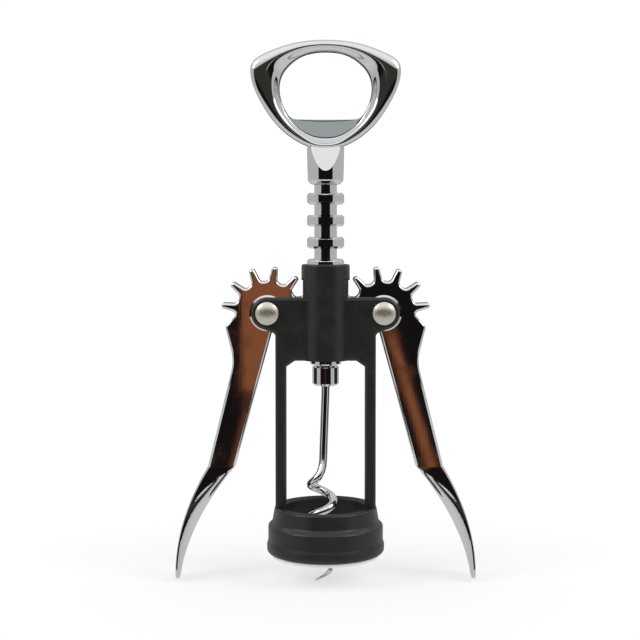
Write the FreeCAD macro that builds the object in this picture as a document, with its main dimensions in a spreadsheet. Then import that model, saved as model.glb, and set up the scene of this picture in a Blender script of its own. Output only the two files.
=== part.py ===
import FreeCAD, Part
import math
import os
import re

import Sketcher

# Wing corkscrew, in millimetres. The origin is on the screw's axis, in the plane of the bell's lower edge.
# +Z runs up through the handle, +X across the two arms and +Y away from the front.
# The arms hang down and the rack is near the top of its travel.

vector = FreeCAD.Vector

sizes = {
    # Bell, which sits on the bottle. Its radii step inwards from the flange's
    "bellHeight": 15.3,
    "flangeWall": 3.4,
    "flangeHeight": 4.3,
    "waistStep": 0.4,
    "waistHeight": 9.0,
    "shoulderStep": 1.75,
    "shoulderRise": 1.4,
    "rimStep": 2.6,
    "mouthStep": 5.25,
    "bellRounding": 1.5,
    "stepRounding": 1.0,
    "rimRounding": 0.8,
    # Nylon ring inside the bell, bored for the bottle's neck
    "neckBore": 14.8,
    "linerWall": 0.9,
    "linerLength": 10.6,
    "linerFlangeThickness": 1.2,
    "linerFlangeStep": 1.5,
    "linerRounding": 0.45,
    "linerClearance": 0.05,
    # Posts and the plates that carry the arms
    "windowHeight": 47.6,
    "windowBevelWidth": 2.9,
    "windowBevelHeight": 2.0,
    "postWidth": 3.4,
    "postInset": 0.3,
    "postEmbed": 1.5,
    "webThickness": 2.2,
    "frameRounding": 1.1,
    "pivotRise": 15.3,
    "earRadius": 5.1,
    "earFoot": 6.6,
    "footRounding": 1.3,
    # Guide sleeve for the rack
    "sleeveWall": 1.7,
    "sleeveRise": 15.7,
    "sleeveRounding": 0.6,
    "rackClearance": 0.15,
    "slotClearance": 0.4,
    # Rack. Its rings fill a share of each tooth pitch
    "rackRings": 8,
    "rackPitchRadius": 5.2,
    "ringRise": 0.8,
    "ringShare": 0.52,
    "ringBevel": 0.75,
    "rackNeckDepth": 1.55,
    "rackNeckTop": 2.65,
    "rackFootStep": 0.95,
    "rackFootLength": 2.1,
    "rackFootBevel": 0.5,
    "shankClearance": 0.08,
    "endClearance": 0.1,
    # Gear sector on each arm, with tooth widths as shares of the pitch
    "gearPitchRadius": 13.6,
    "gearTeethPerTurn": 12,
    "gearTeeth": 7,
    "gearPhase": -9.5,
    "toothRise": 1.4,
    "toothDepth": 3.3,
    "toothTipShare": 0.24,
    "toothFootShare": 0.39,
    "toothRounding": 0.7,
    "rootRounding": 1.2,
    # Hub, with a boss on both faces that bears on the plates
    "hubBossRadius": 5.8,
    "hubBossHeight": 0.2,
    "hubBossBevel": 0.6,
    # Lever of each arm, measured from its pivot
    "armThickness": 5.0,
    "armSideClearance": 0.25,
    "armBevel": 0.6,
    "leverLength": 50.0,
    "leverInnerTop": 3.1,
    "kneeInset": 10.6,
    "kneeWidth": 8.8,
    "waistInset": 10.9,
    "waistDrop": 15.5,
    "waistRounding": 14.0,
    "bumpReach": 13.7,
    "bumpDrop": 4.4,
    "bumpRounding": 1.1,
    # Paddle at the end of each arm
    "paddleLength": 36.3,
    "paddleWidth": 12.4,
    "paddleEdge": 0.7,
    "paddleBevel": 0.2,
    "paddleBulge": 0.4,
    "paddleEndRounding": 3.6,
    "outerSlope": 0.61,
    "outerEndSlope": -0.05,
    "innerSlope": 0.84,
    "innerEndSlope": 0.16,
    # Cap rivets
    "rivetRadius": 2.0,
    "rivetHeadRadius": 3.75,
    "rivetHeadHeight": 1.5,
    "rivetRim": 0.5,
    "rivetEdgeRounding": 0.3,
    "capHeight": 1.7,
    "pressClearance": 0.02,
    "pivotClearance": 0.08,
    # Screw, which leans a little below the stop collar
    "wireRadius": 1.35,
    "screwLean": 2.0,
    "leanBend": 3.0,
    "shankEnd": 33.0,
    "helixRadius": 3.8,
    "helixPitch": 10.9,
    "helixTurns": 2.8,
    "taperTurns": 0.5,
    "pointRadius": 0.3,
    "socketDepth": 9.0,
    # Stop collar under the rack
    "collarRadius": 4.3,
    "collarLength": 6.6,
    "collarBevel": 0.7,
    # Handle: socket and cap-lifter loop, measured up from the socket's lower face
    "socketRadius": 6.0,
    "socketTaper": 0.25,
    "socketBevel": 1.2,
    "socketHeight": 11.45,
    "facetHeight": 4.1,
    "loopDepth": 8.0,
    "loopHeight": 46.25,
    "loopWidth": 48.8,
    "loopNeckWidth": 10.4,
    "loopNeckRounding": 1.5,
    "loopHipWidth": 28.3,
    "loopHipHeight": 14.85,
    "loopHipRounding": 14.0,
    "loopSideHeight": 30.25,
    "loopSideRounding": 20.0,
    "loopCornerHeight": 40.1,
    "loopCornerRounding": 5.2,
    "loopCrownWidth": 18.4,
    "loopCrownRounding": 36.0,
    "loopBarHeight": 3.7,
    "loopRounding": 1.6,
    "dishSlope": 45.0,
    "dishRim": 1.3,
    "dishFootWidth": 6.0,
    "dishFootHeight": 12.1,
    "dishFootRounding": 6.0,
    "dishHipWidth": 25.4,
    "dishHipHeight": 17.4,
    "dishHipRounding": 8.0,
    "openingWidth": 30.4,
    "openingSideHeight": 30.75,
    "openingSideRounding": 12.0,
    "openingCornerHeight": 38.6,
    "openingCornerRounding": 7.8,
    "openingCrownWidth": 11.0,
    "openingCrownRounding": 16.0,
    "lipWidth": 23.6,
    "lipHeight": 20.75,
    "lipRounding": 0.8,
    "lipThickness": 3.0,
}

doc = FreeCAD.newDocument("WingCorkscrew")
sheet = doc.addObject("Spreadsheet::Sheet", "Sizes")
for row, (alias, number) in enumerate(sizes.items(), start=1):
    sheet.set(f"A{row}", alias)
    sheet.set(f"B{row}", str(number))
    sheet.setAlias(f"B{row}", alias)
doc.recompute()

# Levels and places that follow from the sizes
linerOuter = "(neckBore + linerWall)"
bellFlange = f"({linerOuter} + flangeWall)"
bellRim = f"({bellFlange} - rimStep)"
windowTop = "(bellHeight + windowHeight)"
postOuter = f"({bellRim} - postInset)"
windowHalf = f"({postOuter} - postWidth)"
frameDepth = "(armThickness + 2 * armSideClearance + 2 * webThickness)"
slotWidth = "(armThickness + 2 * armSideClearance)"
pivotX = "(rackPitchRadius + gearPitchRadius)"
pivotZ = f"({windowTop} + pivotRise)"
earTop = f"({pivotZ} + earRadius)"
sleeveTop = f"({pivotZ} + sleeveRise)"
ringRadius = "(rackPitchRadius + ringRise)"
sleeveRadius = f"({ringRadius} + rackClearance + sleeveWall)"
gearTip = "(gearPitchRadius + toothRise)"
gearRoot = "(gearPitchRadius - toothDepth)"
slotBottom = f"({pivotZ} - {gearTip} - slotClearance)"
slotTop = f"({pivotZ} + sqrt({gearTip} ^ 2 - ({pivotX} - {sleeveRadius}) ^ 2) + slotClearance)"
rackPitch = "(2 * pi * gearPitchRadius / gearTeethPerTurn)"
ringWidth = f"(ringShare * {rackPitch})"
# A ring's middle lies half a pitch above the gap that the first tooth points into
gapZ = f"({pivotZ} + gearPitchRadius * gearPhase * pi / 180)"
firstRingZ = f"({gapZ} - 1.5 * {rackPitch})"
lastRingZ = f"({firstRingZ} + (rackRings - 1) * {rackPitch})"
rackBottom = f"({firstRingZ} - {ringWidth} / 2 - rackFootLength)"
rackTop = f"({lastRingZ} + {ringWidth} / 2 + rackNeckTop)"
socketBottom = f"({rackTop} + endClearance)"
collarTop = f"({rackBottom} - endClearance)"


def bound(text):
    return re.sub(r"\b[a-z]+[A-Z]\w*", lambda name: "Sizes." + name.group(0), text)


def value(text):
    return float(sheet.evalExpression(bound(text)))


def bind(feature, name, text):
    feature.setExpression(name, bound(text))


def newBody(label, x="0", z="0"):
    body = doc.addObject("PartDesign::Body", label)
    body.Label = label
    bind(body, "Placement.Base.x", x)
    bind(body, "Placement.Base.z", z)
    return body


def newSketch(body, name, role, offset="0"):
    sketch = body.newObject("Sketcher::SketchObject", name)
    plane = [item for item in body.Origin.OriginFeatures if item.Role == role][0]
    sketch.AttachmentSupport = [(plane, "")]
    sketch.MapMode = "FlatFace"
    bind(sketch, "AttachmentOffset.Base.z", offset)
    return sketch


def holdPoint(sketch, geometry, place, x, y):
    for kind, axis, text in (("DistanceX", -2, x), ("DistanceY", -1, y)):
        if text == "0":
            sketch.addConstraint(Sketcher.Constraint("PointOnObject", geometry, place, axis))
        else:
            rule = sketch.addConstraint(
                Sketcher.Constraint(kind, -1, 1, geometry, place, value(text))
            )
            bind(sketch, f"Constraints[{rule}]", text)


def holdRadius(sketch, geometry, text):
    rule = sketch.addConstraint(Sketcher.Constraint("Radius", geometry, value(text)))
    bind(sketch, f"Constraints[{rule}]", text)


def drawCircle(sketch, x, y, radius):
    centre = vector(value(x), value(y), 0)
    circle = sketch.addGeometry(Part.Circle(centre, vector(0, 0, 1), value(radius)), False)
    holdPoint(sketch, circle, 3, x, y)
    holdRadius(sketch, circle, radius)


# A closed outline through corners given as (across, up) or (across, up, rounding radius)
def drawOutline(sketch, corners):
    points = [vector(value(corner[0]), value(corner[1]), 0) for corner in corners]
    markers = []
    for corner, point in zip(corners, points):
        marker = sketch.addGeometry(Part.Point(point), True)
        holdPoint(sketch, marker, 1, corner[0], corner[1])
        markers.append(marker)
    arrivals = []
    departures = []
    arcs = []
    for index, corner in enumerate(corners):
        point = points[index]
        back = (points[index - 1] - point).normalize()
        ahead = (points[(index + 1) % len(points)] - point).normalize()
        if len(corner) == 2:
            arrivals.append(point)
            departures.append(point)
            arcs.append(None)
            continue
        radius = value(corner[2])
        half = back.getAngle(ahead) / 2
        reach = radius / math.tan(half)
        centre = point + (back + ahead).normalize() * (radius / math.sin(half))
        middle = centre + (point - centre).normalize() * radius
        arrivals.append(point + back * reach)
        departures.append(point + ahead * reach)
        arcs.append(sketch.addGeometry(Part.Arc(arrivals[-1], middle, departures[-1]), False))
    lines = []
    for index in range(len(points)):
        following = (index + 1) % len(points)
        segment = Part.LineSegment(departures[index], arrivals[following])
        line = sketch.addGeometry(segment, False)
        sketch.addConstraint(Sketcher.Constraint("PointOnObject", markers[index], 1, line))
        sketch.addConstraint(Sketcher.Constraint("PointOnObject", markers[following], 1, line))
        lines.append(line)
    for index, arc in enumerate(arcs):
        before = lines[index - 1]
        after = lines[index]
        if arc is None:
            sketch.addConstraint(Sketcher.Constraint("Coincident", before, 2, after, 1))
            continue
        incoming = points[index] - points[index - 1]
        outgoing = points[(index + 1) % len(points)] - points[index]
        start, end = (1, 2) if incoming.cross(outgoing).z > 0 else (2, 1)
        sketch.addConstraint(Sketcher.Constraint("Tangent", before, 2, arc, start))
        sketch.addConstraint(Sketcher.Constraint("Tangent", after, 1, arc, end))
        holdRadius(sketch, arc, corners[index][2])


# A section with a flat back whose two corners are bevelled, flat sides and a front that bulges through one point
def drawSection(sketch, back, shoulder, corner, bulge, half, bevel):
    inner = f"({half} - {bevel})"
    places = [
        (corner, half), (shoulder, half), (back, inner), (back, f"-{inner}"), (shoulder, f"-{half}"),
        (corner, f"-{half}"),
    ]
    points = [vector(value(x), value(y), 0) for x, y in places]
    crest = vector(value(bulge), 0, 0)
    front = sketch.addGeometry(Part.Arc(points[-1], crest, points[0]), False)
    lines = [
        sketch.addGeometry(Part.LineSegment(first, second), False)
        for first, second in zip(points, points[1:])
    ]
    start, end = (1, 2) if crest.x > points[0].x else (2, 1)
    sketch.addConstraint(Sketcher.Constraint("Coincident", front, end, lines[0], 1))
    for before, after in zip(lines, lines[1:]):
        sketch.addConstraint(Sketcher.Constraint("Coincident", before, 2, after, 1))
    sketch.addConstraint(Sketcher.Constraint("Coincident", lines[-1], 2, front, start))
    for line, (x, y) in zip(lines, places):
        holdPoint(sketch, line, 1, x, y)
    holdPoint(sketch, lines[-1], 2, corner, f"-{half}")
    marker = sketch.addGeometry(Part.Point(crest), True)
    holdPoint(sketch, marker, 1, bulge, "0")
    sketch.addConstraint(Sketcher.Constraint("PointOnObject", marker, 1, front))


def addPad(body, name, sketch, length, symmetric=False):
    pad = body.newObject("PartDesign::Pad", name)
    pad.Profile = sketch
    pad.SideType = "Symmetric" if symmetric else "One side"
    bind(pad, "Length", length)
    return pad


def addPocket(body, name, sketch, length, symmetric=False, upward=False):
    pocket = body.newObject("PartDesign::Pocket", name)
    pocket.Profile = sketch
    pocket.SideType = "Symmetric" if symmetric else "One side"
    pocket.Reversed = upward
    bind(pocket, "Length", length)
    return pocket


def addTurned(body, name, sketch, kind="Revolution"):
    turned = body.newObject("PartDesign::" + kind, name)
    turned.Profile = sketch
    turned.ReferenceAxis = (sketch, ["V_Axis"])
    turned.Angle = 360
    return turned


# Rounds or bevels the edges of the last feature that pass the test
def addEdgeBreak(body, name, kind, size, test):
    doc.recompute()
    base = body.Tip
    names = [f"Edge{index}" for index, edge in enumerate(base.Shape.Edges, start=1) if test(edge)]
    feature = body.newObject("PartDesign::" + kind, name)
    feature.Base = (base, names)
    bind(feature, "Radius" if kind == "Fillet" else "Size", size)
    return feature


def lies(edge, axis, place):
    box = edge.BoundBox
    low, high = {"x": (box.XMin, box.XMax), "y": (box.YMin, box.YMax), "z": (box.ZMin, box.ZMax)}[axis]
    return abs(low - place) < 0.01 and abs(high - place) < 0.01


# Mirrors the corners of a right half and returns the whole outline
def bothSides(corners):
    return corners + [(f"-({corner[0]})",) + corner[1:] for corner in reversed(corners)]


# Frame: one black casting of bell, posts, eared plates and guide sleeve
def makeFrame():
    body = newBody("frame")
    plate = newSketch(body, "PlateOutline", "XZ_Plane")
    earBottom = f"{pivotZ} - 0.72 * earRadius"
    inner = [
        (f"{windowHalf} - windowBevelWidth", windowTop, "rimRounding"),
        (windowHalf, f"{windowTop} - windowBevelHeight", "rimRounding"),
        (windowHalf, "bellHeight - postEmbed"),
    ]
    outer = [
        (postOuter, "bellHeight - postEmbed"),
        (postOuter, f"{pivotZ} - earFoot", "footRounding"),
        (f"{pivotX} + earRadius", earBottom, "0.98 * earRadius"),
        (f"{pivotX} + earRadius", earTop, "0.98 * earRadius"),
    ]
    drawOutline(plate, bothSides(inner + outer))
    addPad(body, "Plate", plate, frameDepth, symmetric=True)
    half = value(frameDepth) / 2
    foot = value("bellHeight - postEmbed")
    addEdgeBreak(
        body, "PlateRounding", "Fillet", "frameRounding",
        lambda edge: (lies(edge, "y", half) or lies(edge, "y", -half)) and not lies(edge, "z", foot),
    )

    sleeve = newSketch(body, "SleeveCircle", "XY_Plane", windowTop)
    drawCircle(sleeve, "0", "0", sleeveRadius)
    addPad(body, "Sleeve", sleeve, f"{sleeveTop} - {windowTop}")
    top = value(sleeveTop)
    addEdgeBreak(body, "SleeveRounding", "Fillet", "sleeveRounding", lambda edge: lies(edge, "z", top))

    bell = newSketch(body, "BellProfile", "XZ_Plane")
    drawOutline(bell, [
        ("0", "0"),
        (bellFlange, "0", "bellRounding"),
        (bellFlange, "0.7 * flangeHeight", "stepRounding"),
        (f"{bellFlange} - waistStep", "flangeHeight", "stepRounding"),
        (f"{bellFlange} - waistStep", "waistHeight", "stepRounding"),
        (f"{bellFlange} - shoulderStep", "waistHeight + shoulderRise", "stepRounding"),
        (bellRim, "bellHeight", "rimRounding"),
        ("0", "bellHeight"),
    ])
    addTurned(body, "Bell", bell)

    cavity = newSketch(body, "BellCavity", "XZ_Plane")
    mouth = f"{bellFlange} - mouthStep"
    drawOutline(cavity, [
        ("0", "-1"),
        (f"{linerOuter} + linerClearance", "-1"),
        (f"{linerOuter} + linerClearance", "linerLength + linerClearance"),
        (mouth, "linerLength + linerClearance"),
        (mouth, "bellHeight - rimRounding"),
        (f"{mouth} + rimRounding", "bellHeight"),
        ("0", "bellHeight"),
    ])
    addTurned(body, "Cavity", cavity, "Groove")

    bore = newSketch(body, "GuideBore", "XY_Plane", f"{windowTop} - 1")
    drawCircle(bore, "0", "0", f"{ringRadius} + rackClearance")
    addPocket(body, "Bore", bore, f"{sleeveTop} - {windowTop} + 2", upward=True)

    slot = newSketch(body, "ArmSlotOutline", "YZ_Plane")
    drawOutline(slot, [
        (f"-{slotWidth} / 2", slotBottom),
        (f"{slotWidth} / 2", slotBottom),
        (f"{slotWidth} / 2", slotTop),
        (f"-{slotWidth} / 2", slotTop),
    ])
    addPocket(body, "ArmSlot", slot, f"2 * ({pivotX} + 2 * earRadius)", symmetric=True)

    holes = newSketch(body, "RivetHoles", "XZ_Plane")
    drawCircle(holes, pivotX, pivotZ, "rivetRadius + pressClearance")
    drawCircle(holes, f"-{pivotX}", pivotZ, "rivetRadius + pressClearance")
    addPocket(body, "Rivets", holes, f"2 * {frameDepth}", symmetric=True)
    return body


# Liner: a ring inside the bell with a flange under the bell's edge
def makeLiner():
    body = newBody("bell_liner")
    profile = newSketch(body, "LinerProfile", "XZ_Plane")
    drawOutline(profile, [
        ("neckBore + linerRounding", "-linerFlangeThickness"),
        (f"{bellFlange} - linerFlangeStep - linerRounding", "-linerFlangeThickness"),
        (f"{bellFlange} - linerFlangeStep", "linerRounding - linerFlangeThickness"),
        (f"{bellFlange} - linerFlangeStep", "0"),
        (linerOuter, "0"),
        (linerOuter, "linerLength"),
        ("neckBore", "linerLength"),
        ("neckBore", "linerRounding - linerFlangeThickness"),
    ])
    addTurned(body, "Ring", profile)
    return body


# Rivet: stem through both plates and the arm, with a domed head in front
def makeRivet(label, x):
    body = newBody(label, x, pivotZ)
    profile = newSketch(body, "RivetProfile", "XY_Plane")
    face = f"-{frameDepth} / 2"
    drawOutline(profile, [
        ("0", f"{face} - rivetHeadHeight"),
        ("rivetHeadRadius * 0.5", f"{face} - rivetHeadHeight", "rivetHeadRadius * 1.5"),
        ("rivetHeadRadius", f"{face} - rivetRim", "rivetEdgeRounding"),
        ("rivetHeadRadius", face),
        ("rivetRadius", face),
        ("rivetRadius", f"{frameDepth} / 2 + capHeight * 0.4"),
        ("0", f"{frameDepth} / 2 + capHeight * 0.4"),
    ])
    addTurned(body, "Rivet", profile)
    return body


# Rivet cap: domed rear half pressed over the end of the stem
def makeRivetCap(label, x):
    body = newBody(label, x, pivotZ)
    profile = newSketch(body, "CapProfile", "XY_Plane")
    face = f"{frameDepth} / 2"
    drawOutline(profile, [
        ("rivetRadius + pressClearance", face),
        ("rivetHeadRadius", face),
        ("rivetHeadRadius", f"{face} + rivetRim", "rivetEdgeRounding"),
        ("rivetHeadRadius * 0.5", f"{face} + capHeight", "rivetHeadRadius * 1.5"),
        ("0", f"{face} + capHeight"),
        ("0", f"{face} + capHeight * 0.4 + pressClearance"),
        ("rivetRadius + pressClearance", f"{face} + capHeight * 0.4 + pressClearance"),
    ])
    addTurned(body, "Cap", profile)
    return body


# Rack: a tube turned with rings one tooth pitch apart, bored for the screw's shank
def makeRack():
    body = newBody("rack_sleeve")
    neck = newSketch(body, "NeckCircle", "XY_Plane", rackBottom)
    drawCircle(neck, "0", "0", f"{ringRadius} - rackNeckDepth - ringRise")
    addPad(body, "Neck", neck, f"{rackTop} - {rackBottom}")

    foot = newSketch(body, "FootProfile", "XZ_Plane")
    drawOutline(foot, [
        ("0", rackBottom),
        (f"{ringRadius} - rackFootStep - rackFootBevel", rackBottom),
        (f"{ringRadius} - rackFootStep", f"{rackBottom} + rackFootBevel"),
        (f"{ringRadius} - rackFootStep", f"{rackBottom} + rackFootLength + rackFootBevel"),
        ("0", f"{rackBottom} + rackFootLength + rackFootBevel"),
    ])
    addTurned(body, "Foot", foot)

    ring = newSketch(body, "RingProfile", "XZ_Plane")
    drawOutline(ring, [
        ("0", f"{firstRingZ} - {ringWidth} / 2"),
        (f"{ringRadius} - ringBevel", f"{firstRingZ} - {ringWidth} / 2"),
        (ringRadius, f"{firstRingZ} - {ringWidth} / 2 + ringBevel"),
        (ringRadius, f"{firstRingZ} + {ringWidth} / 2 - ringBevel"),
        (f"{ringRadius} - ringBevel", f"{firstRingZ} + {ringWidth} / 2"),
        ("0", f"{firstRingZ} + {ringWidth} / 2"),
    ])
    turned = addTurned(body, "Ring", ring)
    rings = body.newObject("PartDesign::LinearPattern", "Rings")
    rings.Originals = [turned]
    rings.Direction = (ring, ["V_Axis"])
    bind(rings, "Length", f"(rackRings - 1) * {rackPitch}")
    bind(rings, "Occurrences", "rackRings")
    body.Tip = rings

    bore = newSketch(body, "ShankBore", "XY_Plane", f"{rackBottom} - 1")
    drawCircle(bore, "0", "0", "wireRadius + shankClearance")
    addPocket(body, "Bore", bore, f"{rackTop} - {rackBottom} + 2", upward=True)
    return body


# Handle: a cap-lifter loop cast on a round socket
def makeHandle():
    body = newBody("handle", "0", socketBottom)
    outer = newSketch(body, "LoopOutline", "XZ_Plane")
    drawOutline(outer, bothSides([
        ("loopNeckWidth / 2", "socketHeight / 2"),
        ("loopNeckWidth / 2", "socketHeight", "loopNeckRounding"),
        ("loopHipWidth / 2", "loopHipHeight", "loopHipRounding"),
        ("loopWidth / 2", "loopSideHeight", "loopSideRounding"),
        ("loopWidth / 2", "loopCornerHeight", "loopCornerRounding"),
        ("loopCrownWidth / 2", "loopHeight", "loopCrownRounding"),
    ]))
    addPad(body, "Loop", outer, "loopDepth", symmetric=True)
    half = value("loopDepth / 2")
    foot = value("socketHeight / 2")
    addEdgeBreak(
        body, "LoopRounding", "Fillet", "loopRounding",
        lambda edge: (lies(edge, "y", half) or lies(edge, "y", -half)) and not lies(edge, "z", foot),
    )

    opening = newSketch(body, "OpeningOutline", "XZ_Plane")
    drawOutline(opening, bothSides([
        ("lipWidth / 2", "lipHeight", "lipRounding"),
        ("openingWidth / 2", "openingSideHeight", "openingSideRounding"),
        ("openingWidth / 2", "openingCornerHeight", "openingCornerRounding"),
        ("openingCrownWidth / 2", "loopHeight - loopBarHeight", "openingCrownRounding"),
    ]))
    addPocket(body, "Opening", opening, "2 * loopDepth", symmetric=True)
    # Dish: a sloping rim round the opening, which leaves the lip's web at the middle of the depth
    for name, face, rear in (("Front", "loopDepth / 2", False), ("Rear", "-loopDepth / 2", True)):
        dish = newSketch(body, name + "DishOutline", "XZ_Plane", face)
        drawOutline(dish, bothSides([
            ("dishFootWidth / 2", "dishFootHeight", "dishFootRounding"),
            ("dishHipWidth / 2", "dishHipHeight", "dishHipRounding"),
            ("openingWidth / 2 + dishRim", "openingSideHeight", "openingSideRounding"),
            ("openingWidth / 2 + dishRim", "openingCornerHeight", "openingCornerRounding + dishRim"),
            ("openingCrownWidth / 2", "loopHeight - loopBarHeight + dishRim", "openingCrownRounding + dishRim"),
        ]))
        pocket = addPocket(body, name + "Dish", dish, "(loopDepth - lipThickness) / 2", upward=rear)
        bind(pocket, "TaperAngle", "-dishSlope")

    socket = newSketch(body, "SocketProfile", "XZ_Plane")
    drawOutline(socket, [
        ("0", "0"),
        ("socketRadius - socketTaper - socketBevel", "0"),
        ("socketRadius - socketTaper", "socketBevel"),
        ("socketRadius", "socketHeight"),
        ("0", "socketHeight"),
    ])
    addTurned(body, "Socket", socket)
    for name, sign in (("Front", "-"), ("Rear", "")):
        facet = newSketch(body, name + "FacetOutline", "YZ_Plane")
        drawOutline(facet, [
            (f"{sign}loopDepth / 2", "socketHeight"),
            (f"{sign}socketRadius", "facetHeight"),
            (f"{sign}(socketRadius + 1)", "facetHeight"),
            (f"{sign}(socketRadius + 1)", "socketHeight + 1"),
            (f"{sign}loopDepth / 2", "socketHeight + 1"),
        ])
        addPocket(body, name + "Facet", facet, "2 * socketRadius", symmetric=True)

    bore = newSketch(body, "SocketBore", "XY_Plane", "-1")
    drawCircle(bore, "0", "0", "wireRadius + pressClearance")
    addPocket(body, "Bore", bore, "socketDepth + 1", upward=True)
    return body


# Arm: hub with finger teeth, straight lever and paddle. The left arm is drawn, and the right one mirrors it
def makeArm(label, x, mirrored):
    body = newBody(label, x, pivotZ)
    side = -1 if mirrored else 1

    def across(text):
        return text if side > 0 else (f"-({text})" if text != "0" else "0")

    hub = newSketch(body, "HubCircle", "XZ_Plane")
    drawCircle(hub, "0", "0", gearRoot)
    addPad(body, "Hub", hub, "armThickness", symmetric=True)

    tooth = newSketch(body, "ToothOutline", "XZ_Plane")
    if mirrored:
        bind(tooth, "AttachmentOffset.Rotation.Angle", "180 - gearPhase")
    else:
        bind(tooth, "AttachmentOffset.Rotation.Angle", "gearPhase")
    foot = "(180 / gearTeethPerTurn - 1.5)"
    edge = [
        (f"0.9 * {gearRoot}", f"0.8 * {gearRoot} * sin{foot}"),
        (f"{gearRoot} * cos{foot}", f"{gearRoot} * sin{foot}"),
        (f"1.02 * {gearRoot}", f"toothFootShare * {rackPitch} / 2", "rootRounding"),
        (gearTip, f"toothTipShare * {rackPitch} / 2", "toothRounding"),
    ]
    opposite = [(corner[0], "-" + corner[1]) + corner[2:] for corner in reversed(edge)]
    drawOutline(tooth, edge + opposite)
    finger = addPad(body, "Tooth", tooth, "armThickness", symmetric=True)
    teeth = body.newObject("PartDesign::PolarPattern", "Teeth")
    teeth.Originals = [finger]
    teeth.Axis = (hub, ["N_Axis"])
    teeth.Reversed = mirrored
    bind(teeth, "Angle", "(gearTeeth - 1) * 360 / gearTeethPerTurn")
    bind(teeth, "Occurrences", "gearTeeth")
    body.Tip = teeth

    lever = newSketch(body, "LeverOutline", "XZ_Plane")
    drawOutline(lever, [
        (across("leverInnerTop"), "0"),
        (across("-kneeInset"), "-leverLength"),
        (across("-(kneeInset + kneeWidth)"), "-leverLength"),
        (across("-waistInset"), "-waistDrop", "waistRounding"),
        (across("-bumpReach"), "-bumpDrop", "bumpRounding"),
        (across(f"-0.96 * {gearRoot}"), f"-0.2 * {gearRoot}"),
    ])
    addPad(body, "Lever", lever, "armThickness", symmetric=True)

    half = value("armThickness / 2")
    knee = -value("leverLength")
    addEdgeBreak(
        body, "ArmBevel", "Chamfer", "armBevel",
        lambda edge: (lies(edge, "y", half) or lies(edge, "y", -half)) and not lies(edge, "z", knee),
    )

    boss = newSketch(body, "HubBossProfile", "XY_Plane")
    drawOutline(boss, [
        ("0", "-(armThickness / 2 + hubBossHeight)"),
        ("hubBossRadius - hubBossBevel", "-(armThickness / 2 + hubBossHeight)"),
        ("hubBossRadius", "-armThickness / 2"),
        ("hubBossRadius", "armThickness / 2"),
        ("hubBossRadius - hubBossBevel", "armThickness / 2 + hubBossHeight"),
        ("0", "armThickness / 2 + hubBossHeight"),
    ])
    addTurned(body, "HubBoss", boss)

    sections = []
    for step, share in enumerate((0.0, 0.12, 0.25, 0.4, 0.6, 0.8, 1.0)):
        section = newSketch(body, f"PaddleSection{step}", "XY_Plane", f"-leverLength - {share} * paddleLength")
        drop = f"{share} * paddleLength"
        outer = f"-(kneeInset + kneeWidth) - {drop} * (outerSlope - {share} * (outerSlope - outerEndSlope) / 2)"
        inner = f"-kneeInset - {drop} * (innerSlope - {share} * (innerSlope - innerEndSlope) / 2)"
        flare = share * share * (3 - 2 * share)
        half = f"(armThickness / 2 + {flare:.4f} * (paddleWidth - armThickness) / 2)"
        front = max(0.0, 1 - share / 0.36) ** 1.6
        ridge = f"{outer} + paddleEdge + {front:.4f} * (kneeWidth - paddleEdge - paddleBulge)"
        bevel = f"(paddleBevel + {(1 - share) ** 2:.4f} * (armBevel - paddleBevel))"
        shoulder = f"{outer} + {bevel}"
        drawSection(section, across(outer), across(shoulder), across(ridge), across(inner), half, bevel)
        sections.append(section)
    paddle = body.newObject("PartDesign::AdditiveLoft", "Paddle")
    paddle.Profile = sections[0]
    paddle.Sections = sections[1:]

    low = "-(leverLength + paddleLength)"
    end = newSketch(body, "PaddleEndOutline", "YZ_Plane")
    drawOutline(end, [
        ("-paddleWidth", f"{low} + 2 * paddleEndRounding"),
        ("-paddleWidth", f"{low} - 1"),
        ("paddleWidth", f"{low} - 1"),
        ("paddleWidth", f"{low} + 2 * paddleEndRounding"),
        ("paddleWidth / 2", f"{low} + 2 * paddleEndRounding"),
        ("paddleWidth / 2", low, "paddleEndRounding"),
        ("-paddleWidth / 2", low, "paddleEndRounding"),
        ("-paddleWidth / 2", f"{low} + 2 * paddleEndRounding"),
    ])
    addPocket(body, "PaddleEnd", end, "4 * paddleLength", symmetric=True)

    bore = newSketch(body, "PivotBore", "XZ_Plane")
    drawCircle(bore, "0", "0", "rivetRadius + pivotClearance")
    addPocket(body, "Bore", bore, "2 * armThickness", symmetric=True)
    return body


# Stop collar on the shank under the rack
def makeCollar():
    body = newBody("worm_collar")
    profile = newSketch(body, "CollarProfile", "XZ_Plane")
    low = f"({collarTop} - collarLength)"
    drawOutline(profile, [
        ("wireRadius + pressClearance", low),
        ("collarRadius - collarBevel", low),
        ("collarRadius", f"{low} + collarBevel"),
        ("collarRadius", f"{collarTop} - collarBevel"),
        ("collarRadius - collarBevel", collarTop),
        ("wireRadius + pressClearance", collarTop),
    ])
    addTurned(body, "Collar", profile)
    return body


# One arc pair that leaves a point along one direction and reaches the next point along another
def arcPair(start, startAlong, end, endAlong):
    gap = end - start
    both = startAlong + endAlong
    bend = both.dot(both) - 4
    if abs(bend) < 1e-9:
        reach = gap.dot(gap) / (2 * gap.dot(both))
    else:
        root = math.sqrt(gap.dot(both) ** 2 - bend * gap.dot(gap))
        reach = (gap.dot(both) - root) / bend
    first = start + startAlong * reach
    second = end - endAlong * reach
    joint = (first + second) * 0.5
    edges = []
    for low, corner, high in ((start, first, joint), (joint, second, end)):
        cosine = (high - low).Length / (2 * reach)
        chord = (low + high) * 0.5
        if cosine > 0.999999:
            edges.append(Part.LineSegment(low, high).toShape())
            continue
        middle = chord + (corner - chord) * (cosine / (1 + cosine))
        edges.append(Part.Arc(low, middle, high).toShape())
    return edges


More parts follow.
